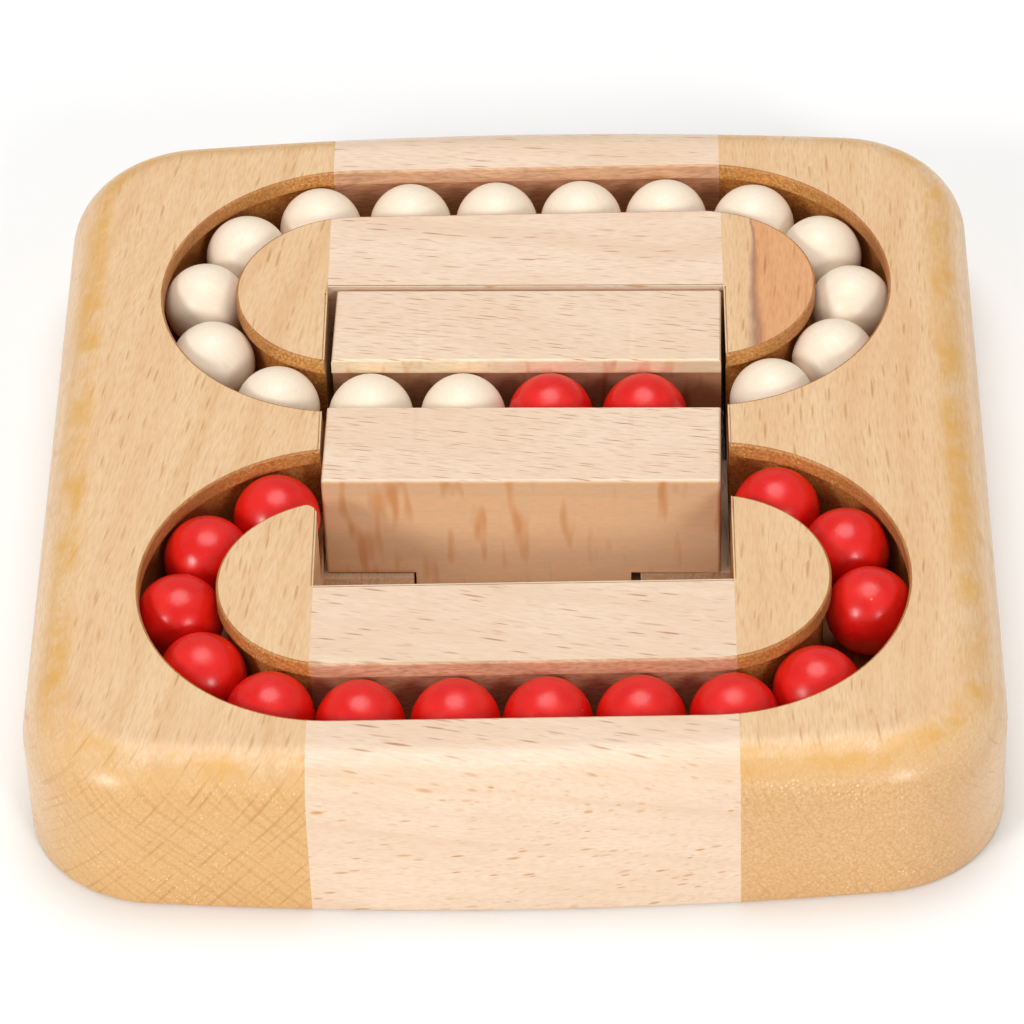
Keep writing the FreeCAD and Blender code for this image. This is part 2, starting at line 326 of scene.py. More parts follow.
def squareness(tree, seen, direction):
    """How squarely the surface faces a direction: 1 face on, 0 edge on."""
    facing = add(
        tree, "ShaderNodeVectorMath", {0: seen.outputs["Normal"], 1: direction}, operation="DOT_PRODUCT"
    ).outputs["Value"]
    return add(tree, "ShaderNodeMath", {0: facing}, operation="ABSOLUTE").outputs[0]


# %% Patterns stretched along the grain, and parallel lines
def stretched_noise(tree, place, size, detail):
    """A soft noise whose blotches have a size in millimetres: along, across and outwards."""
    scaled = add(tree, "ShaderNodeVectorMath", {0: place, 1: size}, operation="DIVIDE").outputs[0]
    return add(tree, "ShaderNodeTexNoise", {"Vector": scaled, "Scale": 1, "Detail": detail}).outputs[0]


def fine_lines(tree, place, spacing, first, full, strength, detail=1):
    """Parallel lines of uneven strength, from a noise that only varies along one axis."""
    scaled = add(tree, "ShaderNodeMath", {0: place, 1: spacing}, operation="DIVIDE").outputs[0]
    noise = {"W": scaled, "Scale": 1, "Detail": detail}
    lines = add(tree, "ShaderNodeTexNoise", noise, noise_dimensions="1D").outputs[0]
    return add(tree, "ShaderNodeMapRange", {0: lines, 1: first, 2: full, 4: strength}).outputs[0]


# %% Long grain
def long_grain(tree, wood, look, flake_share):
    """The colour of a face along the grain, with the patterns that other parts of the finish need."""
    patches = stretched_noise(tree, wood, (24, 8, 8), 2)
    mottle = add(tree, "ShaderNodeMapRange", {0: patches, 1: 0.35, 2: 0.65}).outputs[0]
    # On faces that run beside the rays the side tone is mixed in; on the slider this is painted shade and warm
    # bounce light on its front and back.
    aside = add(tree, "ShaderNodeMath", {0: flake_share, 1: look["side_shade_strength"]}, operation="MULTIPLY")
    outward = add(tree, "ShaderNodeSeparateXYZ", {0: wood}).outputs[2]
    rings = fine_lines(tree, outward, 2.4, 0.47, 0.68, look["ring_strength"], detail=2)
    fibres = stretched_noise(tree, wood, (2.2, 0.3, 0.3), 3)
    fibre = add(tree, "ShaderNodeMapRange", {0: fibres, 1: 0.4, 2: 0.7, 4: look["fibre_strength"]}).outputs[0]
    sheets = stretched_noise(tree, wood, (2.1, 3, 9), 1)
    sheet = add(tree, "ShaderNodeMapRange", {0: sheets, 1: 0.57, 2: 0.74, 4: look["flake_strength"]})
    sheet = add(tree, "ShaderNodeMath", {0: sheet.outputs[0], 1: flake_share}, operation="MULTIPLY")

    strong = ray_marks(tree, wood, look["ray_spacing"], look["ray_size"], look["ray_share"])
    fine_size = [extent * 0.55 for extent in look["ray_size"]]
    fine_spacing = [gap * 0.62 for gap in look["ray_spacing"]]
    fine = ray_marks(tree, wood, fine_spacing, fine_size, 0.9)
    fine = add(tree, "ShaderNodeMath", {0: fine, 1: 0.5}, operation="MULTIPLY").outputs[0]
    marks = add(tree, "ShaderNodeMath", {0: strong, 1: fine}, operation="MAXIMUM").outputs[0]
    kept = add(tree, "ShaderNodeMapRange", {0: flake_share, 3: look["ray_strength"], 4: look["ray_beside"]})
    shown = add(tree, "ShaderNodeMath", {0: marks, 1: kept.outputs[0]}, operation="MULTIPLY").outputs[0]
    ray_tone = add(
        tree,
        "ShaderNodeMix",
        {FACTOR: flake_share, COLOUR_A: look["ray"], COLOUR_B: look["flake"]},
        data_type="RGBA",
    ).outputs[MIXED]

    tone = look["ground"]
    for share, over in (
        (mottle, look["pale"]),
        (aside.outputs[0], look["side"]),
        (rings, look["ring"]),
        (fibre, look["ring"]),
        (sheet.outputs[0], look["flake"]),
        (shown, ray_tone),
    ):
        inputs = {FACTOR: share, COLOUR_A: tone, COLOUR_B: over}
        tone = add(tree, "ShaderNodeMix", inputs, data_type="RGBA").outputs[MIXED]
    return tone, marks, fibres, patches

# %% [markdown]
# End grain drinks more wax, so a face that is square to the grain goes darker. There the
# rays show as thin lines about 1.5 mm apart and the growth rings as fainter bands that cross
# them at a right angle, both very nearly straight over such a small piece. The cut pores
# are pale golden dots that come in clusters. The round-over drinks unevenly as well, which
# leaves grainy amber patches along its shoulder. Below the lips of a groove the wall is
# painted darker, as painted shade for the recess. One island of the right plank holds red
# heartwood down to the groove's floor, and it starts at a dark streak. Clear wax has an IOR
# near 1.5 and a satin sheen, and the polish on top of it is the shader's coat.

# %% End grain
def end_grain(tree, wood, patches, look):
    """The colour of a face across the grain."""
    tiny = add(tree, "ShaderNodeTexNoise", {"Vector": wood, "Scale": 1 / 0.4, "Detail": 2}).outputs[0]
    speckle = add(tree, "ShaderNodeMapRange", {0: tiny, 1: 0.35, 2: 0.68}).outputs[0]
    axes = add(tree, "ShaderNodeSeparateXYZ", {0: wood})
    rings = fine_lines(tree, axes.outputs[2], 0.8, 0.48, 0.68, look["end_line"] * 0.6)
    rays = fine_lines(tree, axes.outputs[1], 0.7, 0.57, 0.7, look["end_line"] * 1.2)
    area = add(tree, "ShaderNodeTexNoise", {"Vector": wood, "Scale": 1 / 5, "Detail": 1}).outputs[0]
    fade = add(tree, "ShaderNodeMapRange", {0: area, 1: 0.4, 2: 0.6, 3: 0.25, 4: 1}).outputs[0]
    rays = add(tree, "ShaderNodeMath", {0: rays, 1: fade}, operation="MULTIPLY").outputs[0]
    dots = ray_marks(tree, wood, (3, 0.5, 0.5), (2.6, 0.3, 0.3), 0.5)
    cluster = add(tree, "ShaderNodeMapRange", {0: patches, 1: 0.42, 2: 0.58, 3: 0.1, 4: 0.8}).outputs[0]
    dots = add(tree, "ShaderNodeMath", {0: dots, 1: cluster}, operation="MULTIPLY").outputs[0]

    tone = look["end"]
    for share, over in (
        (speckle, look["end_pale"]),
        (rings, look["end_ray"]),
        (rays, look["end_ray"]),
        (dots, look["pore"]),
    ):
        inputs = {FACTOR: share, COLOUR_A: tone, COLOUR_B: over}
        tone = add(tree, "ShaderNodeMix", inputs, data_type="RGBA").outputs[MIXED]
    return tone


# %% The shoulder of the round-over, and the painted shade in the recess
def shoulder(tree, seen, wood, strength):
    """How much amber the round-over shows: most where it turns away from the top, in grainy patches."""
    upright = add(tree, "ShaderNodeSeparateXYZ", {0: seen.outputs["Normal"]}).outputs[2]
    begins = add(tree, "ShaderNodeMapRange", {0: upright, 1: 0.998, 2: 0.95}).outputs[0]
    ends = add(tree, "ShaderNodeMapRange", {0: upright, 1: 0.6, 2: 0.85}).outputs[0]
    turned = add(tree, "ShaderNodeMath", {0: begins, 1: ends}, operation="MULTIPLY").outputs[0]
    area = add(tree, "ShaderNodeTexNoise", {"Vector": wood, "Scale": 1 / 7, "Detail": 5, "Roughness": 0.7})
    soaked = add(tree, "ShaderNodeMapRange", {0: area.outputs[0], 1: 0.37, 2: 0.62, 4: strength}).outputs[0]
    return add(tree, "ShaderNodeMath", {0: turned, 1: soaked}, operation="MULTIPLY").outputs[0]


def painted_recess_shade(tree, seen, tone, recess_shade):
    """Darkens a routed wall below the lips, as painted shade for the recess."""
    height = add(tree, "ShaderNodeSeparateXYZ", {0: seen.outputs["Object"]}).outputs[2]
    lip = TOP - LIP_THICKNESS
    below = add(tree, "ShaderNodeMapRange", {0: height, 1: lip + 0.3 * MM, 2: lip - 0.5 * MM}).outputs[0]
    return add(
        tree,
        "ShaderNodeMix",
        {FACTOR: below, COLOUR_A: tone, COLOUR_B: recess_shade},
        data_type="RGBA",
        blend_type="MULTIPLY",
    ).outputs[MIXED]


def heart_streak(tree, seen, tone, centre, reach):
    """Red heartwood on one island of the right plank, with a dark streak where it starts."""
    place = seen.outputs["Object"]
    from_centre = add(tree, "ShaderNodeVectorMath", {0: place, 1: centre}, operation="SUBTRACT").outputs[0]
    level = add(
        tree, "ShaderNodeVectorMath", {0: from_centre, 1: (1000, 1000, 0)}, operation="MULTIPLY"
    ).outputs[0]
    away = add(tree, "ShaderNodeVectorMath", {0: level}, operation="LENGTH").outputs["Value"]
    inside = add(tree, "ShaderNodeMath", {0: away, 1: reach / MM}, operation="LESS_THAN").outputs[0]
    height = add(tree, "ShaderNodeSeparateXYZ", {0: place}).outputs[2]
    raised = add(tree, "ShaderNodeMath", {0: height, 1: track_floor}, operation="GREATER_THAN").outputs[0]
    inside = add(tree, "ShaderNodeMath", {0: inside, 1: raised}, operation="MULTIPLY").outputs[0]
    stray = add(tree, "ShaderNodeTexNoise", {"Vector": level, "Scale": 1 / 6, "Detail": 3})
    spot = add(
        tree,
        "ShaderNodeVectorMath",
        {0: stray.outputs["Color"], 1: (1.6, 0, 0), 2: level},
        operation="MULTIPLY_ADD",
    ).outputs[0]
    axes = add(tree, "ShaderNodeSeparateXYZ", {0: spot})
    streak_x = 8.6
    begins, full = streak_x - 0.2, streak_x + 0.3
    red = add(tree, "ShaderNodeMapRange", {0: axes.outputs[0], 1: begins, 2: full}).outputs[0]
    red = add(tree, "ShaderNodeMath", {0: red, 1: inside}, operation="MULTIPLY").outputs[0]
    tone = add(
        tree,
        "ShaderNodeMix",
        {FACTOR: red, COLOUR_A: tone, COLOUR_B: "#F8D9C3"},
        data_type="RGBA",
        blend_type="MULTIPLY",
    ).outputs[MIXED]
    half_width = add(tree, "ShaderNodeMapRange", {0: axes.outputs[1], 1: 14, 2: -12, 3: 0.25, 4: 1.5})
    aside = add(tree, "ShaderNodeMath", {0: axes.outputs[0], 1: streak_x}, operation="SUBTRACT").outputs[0]
    aside = add(tree, "ShaderNodeMath", {0: aside}, operation="ABSOLUTE").outputs[0]
    aside = add(tree, "ShaderNodeMath", {0: aside, 1: half_width.outputs[0]}, operation="DIVIDE").outputs[0]
    dark = add(tree, "ShaderNodeMapRange", {0: aside, 1: 1, 2: 0.1, 4: 0.65}).outputs[0]
    dark = add(tree, "ShaderNodeMath", {0: dark, 1: inside}, operation="MULTIPLY").outputs[0]
    return add(
        tree, "ShaderNodeMix", {FACTOR: dark, COLOUR_A: tone, COLOUR_B: "#8A5648"}, data_type="RGBA"
    ).outputs[MIXED]


# %% Beech
def beech(name, grain, radial, start, look, heart=None):
    """Waxed or routed beech. Grain and radial are the directions of the fibres and of the rays."""
    material, tree = fresh(name)
    along = Vector(grain).normalized()
    outwards = (Vector(radial) - along * along.dot(Vector(radial))).normalized()
    seen = add(tree, "ShaderNodeTexCoord")
    wood = log_axes(tree, seen, along, outwards, start, look["wander"])
    beside_ray = squareness(tree, seen, outwards.cross(along))
    flake_share = add(tree, "ShaderNodeMapRange", {0: beside_ray, 1: 0.6, 2: 0.9}).outputs[0]
    tone, marks, fibres, patches = long_grain(tree, wood, look, flake_share)
    across_grain = squareness(tree, seen, along)
    end_share = add(tree, "ShaderNodeMapRange", {0: across_grain, 1: 0.45, 2: 0.85}).outputs[0]
    soaked = shoulder(tree, seen, wood, look["amber_strength"])
    for share, over in ((end_share, end_grain(tree, wood, patches, look)), (soaked, look["amber"])):
        inputs = {FACTOR: share, COLOUR_A: tone, COLOUR_B: over}
        tone = add(tree, "ShaderNodeMix", inputs, data_type="RGBA").outputs[MIXED]
    # Below the lips the routed walls get painted shade for the recess.
    if "recess_shade" in look:
        tone = painted_recess_shade(tree, seen, tone, look["recess_shade"])
    if heart:
        tone = heart_streak(tree, seen, tone, *heart)
    rough = look["roughness"]
    sheen = add(tree, "ShaderNodeMapRange", {0: fibres, 1: 0.3, 2: 0.8, 3: rough - 0.05, 4: rough + 0.1})
    relief = add(tree, "ShaderNodeMath", {0: marks, 1: fibres}, operation="ADD").outputs[0]
    bump = add(
        tree, "ShaderNodeBump", {"Height": relief, "Strength": 0.35, "Distance": look["relief"]}, invert=True
    ).outputs[0]
    wax = add(
        tree,
        "ShaderNodeBsdfPrincipled",
        {"Base Color": tone, "Roughness": sheen.outputs[0], "Normal": bump, "IOR": 1.5},
    )
    wax.inputs["Coat Weight"].default_value = look["polish"]
    wax.inputs["Coat Roughness"].default_value = 0.22
    add(tree, "ShaderNodeOutputMaterial", {"Surface": wax.outputs[0]})
    return material

# %% [markdown]
# The side planks came from a warmer board than the centre boards and the slider, so there
# are two sets of tones. Walls that the router cut are darker versions of both: the open pores
# leave them a strong amber brown, and part of their darkness is painted shade for the grooves.
# The slider's wood is straighter and closer, with shorter dashes on top and tall flakes on its
# front, and its channel's lips are painted pale, as painted light where they sit in shade.

# %% Tones of the two beech boards, and of their routed walls
HONEY = {
    "ground": "#E3BC90",
    "pale": "#E7C498",
    "ring": "#D09F69",
    "ring_strength": 0.3,
    "fibre_strength": 0.5,
    "side": "#DFB78A",
    "side_shade_strength": 0.0,
    "ray": "#B78349",
    "flake": "#CF9A5E",
    "flake_strength": 0.0,
    "ray_spacing": (4.6, 1.1, 12),
    "ray_size": (4.4, 0.36, 10),
    "ray_share": 0.8,
    "ray_strength": 0.7,
    "ray_beside": 0.7,
    "end": "#D7A567",
    "end_pale": "#DFB376",
    "end_ray": "#B97F3E",
    "end_line": 0.42,
    "pore": "#FBE0A8",
    "amber": "#DBA34B",
    "amber_strength": 0.85,
    "roughness": 0.42,
    "polish": 0.3,
    "relief": 0.03 * MM,
    "wander": 4,
}
PALE = dict(
    HONEY,
    ground="#E8CBAF",
    pale="#ECD3B9",
    ring="#DBB692",
    ray="#AE774C",
    flake="#D2965A",
    ray_spacing=(4.4, 1.1, 1.2),
    ray_size=(3.9, 0.34, 0.62),
    ray_share=0.9,
    ray_strength=0.85,
    ray_beside=0.95,
    end="#D5AE85",
    end_pale="#E2C5A4",
    end_ray="#BE8F62",
    amber="#E0B478",
    amber_strength=0.12,
    wander=3,
)
SLIDER = dict(
    PALE,
    # The slider's side tone on its front and back is painted shade and warm bounce light, for faces that sit down
    # in the opening.
    side="#EDBF90",
    side_shade_strength=1.0,
    ray_spacing=(3.7, 0.74, 10),
    ray_size=(3.6, 0.21, 9),
    ray_share=1.0,
    ray_strength=0.95,
    ray_beside=0.0,
    flake="#D58A45",
    flake_strength=0.75,
    wander=1.5,
    amber_strength=0.0,
)


# The tint that routed() takes darkens each wall below its lips, as painted shade for the recess.
def routed(look, recess_shade, **tones):
    """The same wood where the router cut it: rougher, darker partly as painted shade, no polished shoulder."""
    return dict(
        look,
        recess_shade=recess_shade,
        amber_strength=0.0,
        side_shade_strength=0.0,
        roughness=0.62,
        polish=0.0,
        relief=0.08 * MM,
        fibre_strength=0.8,
        **tones,
    )


# These tones are partly the routed wood's open pores and partly painted shade. The colour after each look tints
# the wall below its lips, as painted shade.
ROUTED_HONEY = routed(
    HONEY, "#F2E3C8", ground="#B3743C", pale="#C2864C", ring="#965A28", end="#B4702D", end_pale="#DDA55E"
)
ROUTED_PALE = routed(
    PALE, "#F6E6DF", ground="#DCAC85", pale="#E7BD97", ring="#B98463", end="#B67E4F", end_pale="#DFB98E"
)
# The slider's channel ground is paler than its waxed top, as painted light on lips that sit in shade.
ROUTED_SLIDER = routed(
    SLIDER, "#C09A8A", ground="#F4DDBB", pale="#F7E3C6", ring="#E6C9A0", end="#B67E4F", end_pale="#DFB98E"
)
RAW_STRIP = dict(SLIDER, side_shade_strength=0.0, ground="#DDBB98", pale="#E6C9AB", roughness=0.65, polish=0.0)

# %% Beech for each board
left_wood = {"grain": (0.16, 1, 0), "radial": (0.65, 0, 0.75), "start": (0, 0, 40)}
right_wood = {"grain": (0.02, 1, 0), "radial": (-0.5, 0, 0.86), "start": (70, 20, 5)}
near_wood = {"grain": (1, -0.2, 0), "radial": (0.1, 0.6, 0.8), "start": (15, 60, 0)}
far_wood = {"grain": (1, -0.1, 0), "radial": (0, 0.3, 0.95), "start": (50, 5, 22)}
slider_wood = {"grain": (1, -0.17, 0), "radial": (0, 0, 1), "start": (33, 12, 60)}
honey_left = beech("waxed_beech_left_plank", look=HONEY, **left_wood)
island_radius = TRACK_RADIUS - SLOT_WIDTH / 2
heart = (far_right, island_radius)
PLAIN_END = dict(HONEY, end_line=0.14, end="#D19D65", end_pale="#DEB47C")
honey_right = beech("waxed_beech_right_plank", look=PLAIN_END, heart=heart, **right_wood)
routed_left = beech("routed_beech_left_plank", look=ROUTED_HONEY, **left_wood)
routed_right = beech("routed_beech_right_plank", look=ROUTED_HONEY, **right_wood)
pale_near = beech("waxed_beech_near_board", look=PALE, **near_wood)
PALEST = dict(PALE, ground="#ECD1B6", pale="#F0D9C1")
pale_far = beech("waxed_beech_far_board", look=PALEST, **far_wood)
routed_near = beech("routed_beech_near_board", look=ROUTED_PALE, **near_wood)
routed_far = beech("routed_beech_far_board", look=ROUTED_PALE, **far_wood)
pale_slider = beech("waxed_beech_slider", look=SLIDER, **slider_wood)
routed_slider = beech("routed_beech_slider", look=ROUTED_SLIDER, **slider_wood)
raw_strip = beech("raw_beech_strip", (0, 1, 0), (0.3, 0, 1), (9, 80, 31), RAW_STRIP)
print("beech materials", len([material for material in bpy.data.materials if "beech" in material.name]))

# %% [markdown]
# The board is drawn as one outline before it is cut: a very shallow arc along the front and
# the back, tight arcs at the corners, and straight sides. All arcs meet their neighbours
# without a kink, because a corner's centre lies on the line from the end arc's centre to the
# point where they meet. The outline is filled, extruded to the board's thickness, and its
# top rim gets a large bevel with many segments, as a round-over bit would cut it.

# %% The outline and the blank
corner_x = board_high.x - CORNER_RADIUS
end_centre_y = board_high.y - END_ARC_RADIUS
reach = END_ARC_RADIUS - CORNER_RADIUS
corner_y = end_centre_y + math.sqrt(reach ** 2 - corner_x ** 2)
end_half_angle = math.degrees(math.asin(corner_x / reach))
meet_x = corner_x * END_ARC_RADIUS / reach
meet_y = end_centre_y + (corner_y - end_centre_y) * END_ARC_RADIUS / reach

board = start_line("board", (-meet_x, meet_y, 0))
arc_by((0, end_centre_y, 0), 2 * end_half_angle, 40)
arc_by((corner_x, corner_y, 0), 90 - end_half_angle, 22)
line_by(0, -2 * corner_y, 0)
arc_by((corner_x, -corner_y, 0), 90 - end_half_angle, 22)
arc_by((0, -end_centre_y, 0), 2 * end_half_angle, 40)
arc_by((-corner_x, -corner_y, 0), 90 - end_half_angle, 22)
line_by(0, 2 * corner_y, 0)
arc_by((-corner_x, corner_y, 0), 90 - end_half_angle, 22)
close_line()
line_by(0, 0, TOP)
select_edges(board, lambda place: near(place.z, TOP))
bpy.ops.mesh.bevel(offset=TOP_ROUNDING, segments=14, profile=0.5, affect="EDGES", clamp_overlap=False)
select_edges(board, lambda place: near(place.z, 0))
bpy.ops.mesh.bevel(offset=BOTTOM_ROUNDING, segments=3, profile=0.5, affect="EDGES", clamp_overlap=False)
finish_solid()
board.data.materials.append(honey_left)
print("blank", [round(value / MM, 2) for value in board.dimensions], "mm")

# %% [markdown]
# The router's path is a racetrack, and its cutter leaves a groove that is wider below than
# at the mouth. The groove's section is drawn once, standing up, with eased lips. Spin sweeps
# it round one half circle, Extrude takes it along the straight run, and Spin takes it back
# round the other half circle. The near loop is the far one mirrored, so it spins the other way.

# %% The groove's section and the two loop cutters
def draw_section(name, x, y, mouth_width):
    """The groove's section, standing across the y direction, filled and selected."""
    mouth = mouth_width / 2
    undercut = TRACK_WIDTH / 2 - mouth
    lip_z = TOP - LIP_THICKNESS
    eased_z = TOP - MOUTH_EASING
    above = 1 * MM
    section = start_line(name, (x, y + TRACK_WIDTH / 2, track_floor))
    line_by(0, 0, lip_z - track_floor)
    line_by(0, -undercut, 0)
    line_by(0, 0, eased_z - lip_z)
    arc_by((x, y + mouth + MOUTH_EASING, eased_z), 90, 4, axis=(1, 0, 0))
    line_by(0, 0, above)
    line_by(0, -2 * (mouth + MOUTH_EASING), 0)
    line_by(0, 0, -above)
    arc_by((x, y - mouth - MOUTH_EASING, eased_z), 90, 4, axis=(1, 0, 0))
    line_by(0, 0, lip_z - eased_z)
    line_by(0, -undercut, 0)
    line_by(0, 0, track_floor - lip_z)
    close_line()
    return section


def loop_cutter(name, left, right, side):
    """One loop, from the inner run's left end round to its right end. Side is 1 or -1."""
    cutter = draw_section(name, left.x, left.y - side * TRACK_RADIUS, SLOT_WIDTH)
    arc_by(left, 180 * side, 60)
    line_by(right.x - left.x, 0, 0)
    arc_by(right, 180 * side, 60)
    finish_solid()
    cutter.data.materials.append(routed_left)
    return cutter


cut(board, loop_cutter("far_loop_cutter", far_left, far_right, 1))
cut(board, loop_cutter("near_loop_cutter", near_left, near_right, -1))
print("routed board", len(board.data.polygons), "faces,", len(board.data.materials), "materials")

# %% [markdown]
# Now the board is parted at its glue seams. Each of the four pieces is a copy of the whole
# board with the rest sawn off, so the grooves run on across the seams without a step.
# The opening needs no cutter of its own: it is what stays empty when the middle is left out.

# %% The four boards
def copy_of(piece, name):
    """A copy with its own mesh."""
    only(piece)
    bpy.ops.object.duplicate()
    copied = bpy.context.object
    copied.name = name
    return copied


left_plank = copy_of(board, "left_side_plank")
saw(left_plank, (seam_left, 0, 0), (1, 0, 0))
right_plank = copy_of(board, "right_side_plank")
saw(right_plank, (seam_right, 0, 0), (-1, 0, 0))
far_board = copy_of(board, "far_end_board")
near_board = copy_of(board, "near_end_board")
for end_board in (far_board, near_board):
    saw(end_board, (seam_left, 0, 0), (-1, 0, 0))
    saw(end_board, (seam_right, 0, 0), (1, 0, 0))
saw(far_board, (seam_right, bar_far, 0), (-math.sin(ASKEW), -math.cos(ASKEW), 0))
saw(near_board, (0, bar_near, 0), (0, 1, 0))
bpy.data.objects.remove(board)

# %% [markdown]
# Sandpaper has taken the sharpness off the opening's upper edges. A small cutter does the
# same: its section is the sliver outside a quarter circle, drawn at one end of the edge and
# extruded along it. The planks also get their pockets for the strips that the slider rests on.

# %% Eased edges of the opening, and the pockets for the strips
def ease_edge(piece, start, out, run):
    """Rounds the top edge that starts at a point. Out points from the wood into the opening."""
    radius = MOUTH_EASING
    out = Vector(out)
    run = Vector(run)
    axis = out.cross(Vector((0, 0, 1)))
    beyond = 0.5 * MM
    cutter = start_line("edge_cutter", Vector(start) - out * radius)
    arc_by(Vector(start) - out * radius - Vector((0, 0, radius)), -90, 4, axis=axis)
    line_by(*(out * beyond))
    line_by(0, 0, radius + beyond)
    line_by(*(-out * (radius + beyond)))
    line_by(0, 0, -beyond)
    close_line()
    line_by(*run)
    finish_solid()
    cutter.data.materials.append(piece.data.materials[0])
    cut(piece, cutter)


opening_run = (0, bar_far - bar_near, 0)
ease_edge(left_plank, (seam_left, bar_near, TOP), (1, 0, 0), opening_run)
ease_edge(right_plank, (seam_right, bar_near, TOP), (-1, 0, 0), opening_run)
bar_rise = (seam_right - seam_left) * math.tan(ASKEW)
far_run = (seam_left - seam_right, bar_rise, 0)
ease_edge(far_board, (seam_right, bar_far, TOP), (-math.sin(ASKEW), -math.cos(ASKEW), 0), far_run)
ease_edge(near_board, (seam_left, bar_near, TOP), (0, 1, 0), (seam_right - seam_left, 0, 0))
for plank, strip in ((left_plank, "left_ledge"), (right_plank, "right_ledge")):
    cut(plank, block("pocket", *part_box(strip)))

# %% [markdown]
# One tip of an island has been sanded round: the near one on the left, where the groove
# meets the opening. The cutter for it is the corner outside a circle that touches both the
# opening's side and the groove's wall.

# %% The rounded tip
TIP_RADIUS = 1.9 * MM
level_centre = Vector((near_left.x, near_left.y, 0))
tip_x = seam_left - TIP_RADIUS
tip_y = near_left.y + math.sqrt((island_radius - TIP_RADIUS) ** 2 - (tip_x - near_left.x) ** 2)
tip = Vector((tip_x, tip_y, 0))
to_groove = (tip - level_centre).normalized()
touch = level_centre + to_groove * island_radius
beyond = 2 * MM
tip_cutter = start_line("tip_cutter", (seam_left, tip_y, track_floor))
arc_by(tip, -math.degrees(math.atan2(to_groove.y, to_groove.x)), 8)
line_by(*(to_groove * beyond))
line_by(seam_left + beyond - touch.x - to_groove.x * beyond, 0, 0)
line_by(0, tip_y - touch.y - to_groove.y * beyond, 0)
close_line()
line_by(0, 0, TOP - track_floor + beyond)
finish_solid()
tip_cutter.data.materials.append(routed_left)
cut(left_plank, tip_cutter)
print("tip rounded at", [round(value / MM, 1) for value in tip])

# %% Finish the four boards
def dress(piece, outside, inside, node):
    """Gives a board its two finishes and its place on the frame."""
    piece.data.materials[0] = outside
    piece.data.materials[1] = inside
    smooth(piece)
    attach(piece, "frame")
    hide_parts(node)


dress(left_plank, honey_left, routed_left, "left_plank")
dress(right_plank, honey_right, routed_right, "right_plank")
dress(far_board, pale_far, routed_far, "far_centre_board")
dress(near_board, pale_near, routed_near, "near_centre_board")

# %% [markdown]
# The slider is a block with a channel across it and a tongue below that runs between the
# rest strips. The block starts as a cube. Two Bisect cuts mark the tongue's width on its
# underside, that strip is extruded down, and a bevel eases its upright and top edges.
# The slider is loose in its opening and lies a little askew, so it is modelled square and
# turned at the end. Its square size is worked out from the box of the turned one.

# %% The slider's block and tongue
def square_box(node):
    """A slider part's corners before it was turned askew, about its own middle."""
    low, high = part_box(node)
    middle = (low + high) / 2
    across, deep, tall = high - low
    width = (across * math.cos(ASKEW) - deep * math.sin(ASKEW)) / math.cos(2 * ASKEW)
    length = (deep * math.cos(ASKEW) - across * math.sin(ASKEW)) / math.cos(2 * ASKEW)
    half = Vector((width, length, tall)) / 2
    return middle - half, middle + half


def turn_askew(piece, low, high):
    """Turns a finished part about the middle of its box, as the slider lies in the opening."""
    middle = (low + high) / 2
    turn = Matrix.Rotation(-ASKEW, 4, "Z")
    piece.matrix_world = Matrix.Translation(middle) @ turn @ Matrix.Translation(-middle)
    only(piece)
    bpy.ops.object.transform_apply(location=True, rotation=True, scale=True)


slider_low, slider_high = square_box("slider_block")
strip_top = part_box("left_ledge")[1].z
SLIDE_CLEARANCE = 0.2 * MM
SIDE_CLEARANCE = 0.8 * MM
SLIDER_EASING = 0.5 * MM
block_bottom = strip_top + SLIDE_CLEARANCE
tongue_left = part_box("left_ledge")[1].x + SIDE_CLEARANCE
tongue_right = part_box("right_ledge")[0].x - SIDE_CLEARANCE

slider = block("sliding_block", Vector((slider_low.x, slider_low.y, block_bottom)), slider_high)
bpy.ops.object.mode_set(mode="EDIT")
for x in (tongue_left, tongue_right):
    bpy.ops.mesh.select_all(action="SELECT")
    bpy.ops.mesh.bisect(plane_co=(x, 0, 0), plane_no=(1, 0, 0))
bpy.ops.mesh.select_mode(type="FACE")
bpy.ops.mesh.select_all(action="DESELECT")
slider_mesh = bmesh.from_edit_mesh(slider.data)
for face in slider_mesh.faces:
    middle = face.calc_center_median()
    face.select_set(near(middle.z, block_bottom) and tongue_left < middle.x < tongue_right)
bmesh.update_edit_mesh(slider.data)
line_by(0, 0, slider_low.z - block_bottom)
bpy.ops.mesh.select_mode(type="EDGE")
bpy.ops.mesh.select_all(action="DESELECT")
slider_mesh = bmesh.from_edit_mesh(slider.data)
for edge in slider_mesh.edges:
    first, second = (corner.co for corner in edge.verts)
    on_top = near(first.z, TOP) and near(second.z, TOP)
    at_side = near(first.x, slider_low.x) or near(first.x, slider_high.x)
    upright = at_side and near(first.x, second.x) and near(first.y, second.y)
    edge.select_set(on_top or upright)
bmesh.update_edit_mesh(slider.data)
bpy.ops.mesh.bevel(offset=SLIDER_EASING, segments=4, profile=0.5, affect="EDGES")
finish_solid()
slider.data.materials.append(pale_slider)

# %% The channel
slider_middle_y = (slider_low.y + slider_high.y) / 2
channel = draw_section("channel_cutter", slider_low.x - MM, slider_middle_y, CHANNEL_WIDTH)
line_by(slider_high.x - slider_low.x + 2 * MM, 0, 0)
finish_solid()
channel.data.materials.append(routed_slider)
cut(slider, channel)
turn_askew(slider, slider_low, slider_high)

# %% Finish the slider
smooth(slider)
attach(slider, "slider")
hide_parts("slider_block")

# %% [markdown]
# Two strips are let into the planks and carry the slider. Each is a sawn lath with just
# enough sanding to take the splinters off, so its bevel is small.

